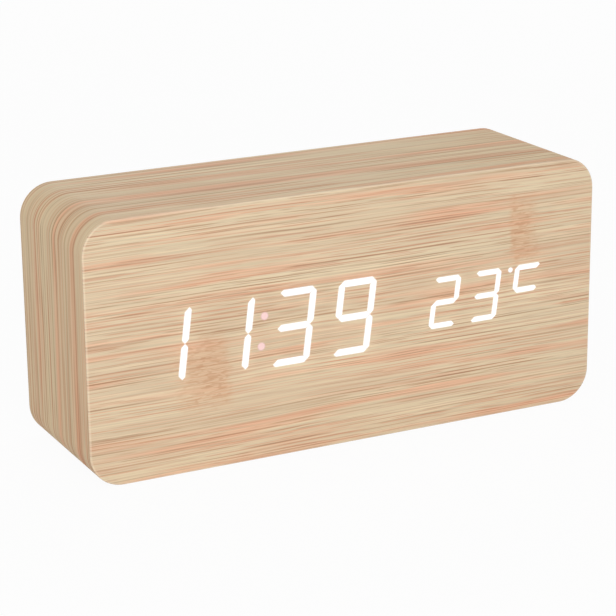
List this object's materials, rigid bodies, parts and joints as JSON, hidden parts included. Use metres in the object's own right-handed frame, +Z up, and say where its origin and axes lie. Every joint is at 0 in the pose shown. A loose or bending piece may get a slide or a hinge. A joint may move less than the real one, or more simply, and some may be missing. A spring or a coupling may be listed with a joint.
{
  "type": "wooden alarm clock",
  "caption": "Rounded wooden block clock whose lit time and temperature digits shine through the front film, with set buttons, power inlet and battery door at the rear.",
  "frame": {"origin": "middle of the footprint, on the surface that the clock stands on", "axes": "+X to the right as seen from the front, along the longest side; +Y from front to rear; +Z up"},
  "size_m": [0.15, 0.045, 0.07],
  "materials": {
    "bamboo_film": "thin bamboo film, satin",
    "board_core": "bare fibreboard",
    "mask_white": "white moulded plastic",
    "diffuser_white": "frosted film",
    "fill_resin": "milky cast resin",
    "board_green": "solder mask",
    "lamp_yellow": "phosphor window in a white chip",
    "chip_black": "moulded epoxy",
    "steel": "zinc plated",
    "nickel": "nickel plated",
    "can_aluminium": "drawn can",
    "resistor_black": "coated ceramic",
    "socket_white": "nylon",
    "ribbon_grey": "flat insulation",
    "cover_black": "fine spark texture",
    "button_black": "satin",
    "plunger_black": "nylon",
    "cell_jacket": "printed sleeve with bare ends",
    "lead_red": "insulation",
    "lead_black": "insulation",
    "bead_black": "epoxy bead"
  },
  "bodies": {
    "case": {"front_veneer": "bamboo_film", "wrap_veneer": "bamboo_film", "base_veneer": "bamboo_film", "front_board": "board_core", "case_ring": "board_core", "segment_mask": "mask_white", "diffuser_film": "diffuser_white", "segment_fills": "fill_resin", "display_board": "board_green", "led_chips": "lamp_yellow", "controller_chip": "chip_black", "clock_crystal": "nickel", "display_capacitors": "can_aluminium", "chip_resistors": "resistor_black", "display_screws": "steel", "ribbon_sockets": "socket_white", "ribbon_cable": "ribbon_grey", "rear_cover": "cover_black", "rear_cover_screws": "steel", "aaa_cells": "cell_jacket", "contact_plates": "nickel", "contact_springs": "nickel", "battery_lead_red": "lead_red", "battery_lead_black": "lead_black", "key_board": "board_green", "key_board_screws": "steel", "switch_bases": "chip_black", "switch_lids": "nickel", "switch_domes": "nickel", "usb_shell": "nickel", "usb_tongue": "chip_black", "buzzer": "chip_black", "microphone": "can_aluminium", "temperature_sensor": "bead_black"},
    "battery_door": {"battery_door": "cover_black"},
    "down_button": {"down_button_cap": "button_black", "down_switch_plunger": "plunger_black"},
    "up_button": {"up_button_cap": "button_black", "up_switch_plunger": "plunger_black"},
    "set_button": {"set_button_cap": "button_black", "set_switch_plunger": "plunger_black"}
  },
  "joints": [
    {"name": "battery_door_swing", "type": "hinge", "parent": "case", "child": "battery_door", "pos_m": [-0.05415, 0.0206, 0.035], "axis": [0, 0, 1], "range_deg": [0, 95]},
    {"name": "down_button_press", "type": "slide", "parent": "case", "child": "down_button", "axis": [0, -1, 0], "range_m": [0, 0.00025], "stiffness_N_per_m": 4000},
    {"name": "up_button_press", "type": "slide", "parent": "case", "child": "up_button", "axis": [0, -1, 0], "range_m": [0, 0.00025], "stiffness_N_per_m": 4000},
    {"name": "set_button_press", "type": "slide", "parent": "case", "child": "set_button", "axis": [0, -1, 0], "range_m": [0, 0.00025], "stiffness_N_per_m": 4000}
  ]
}
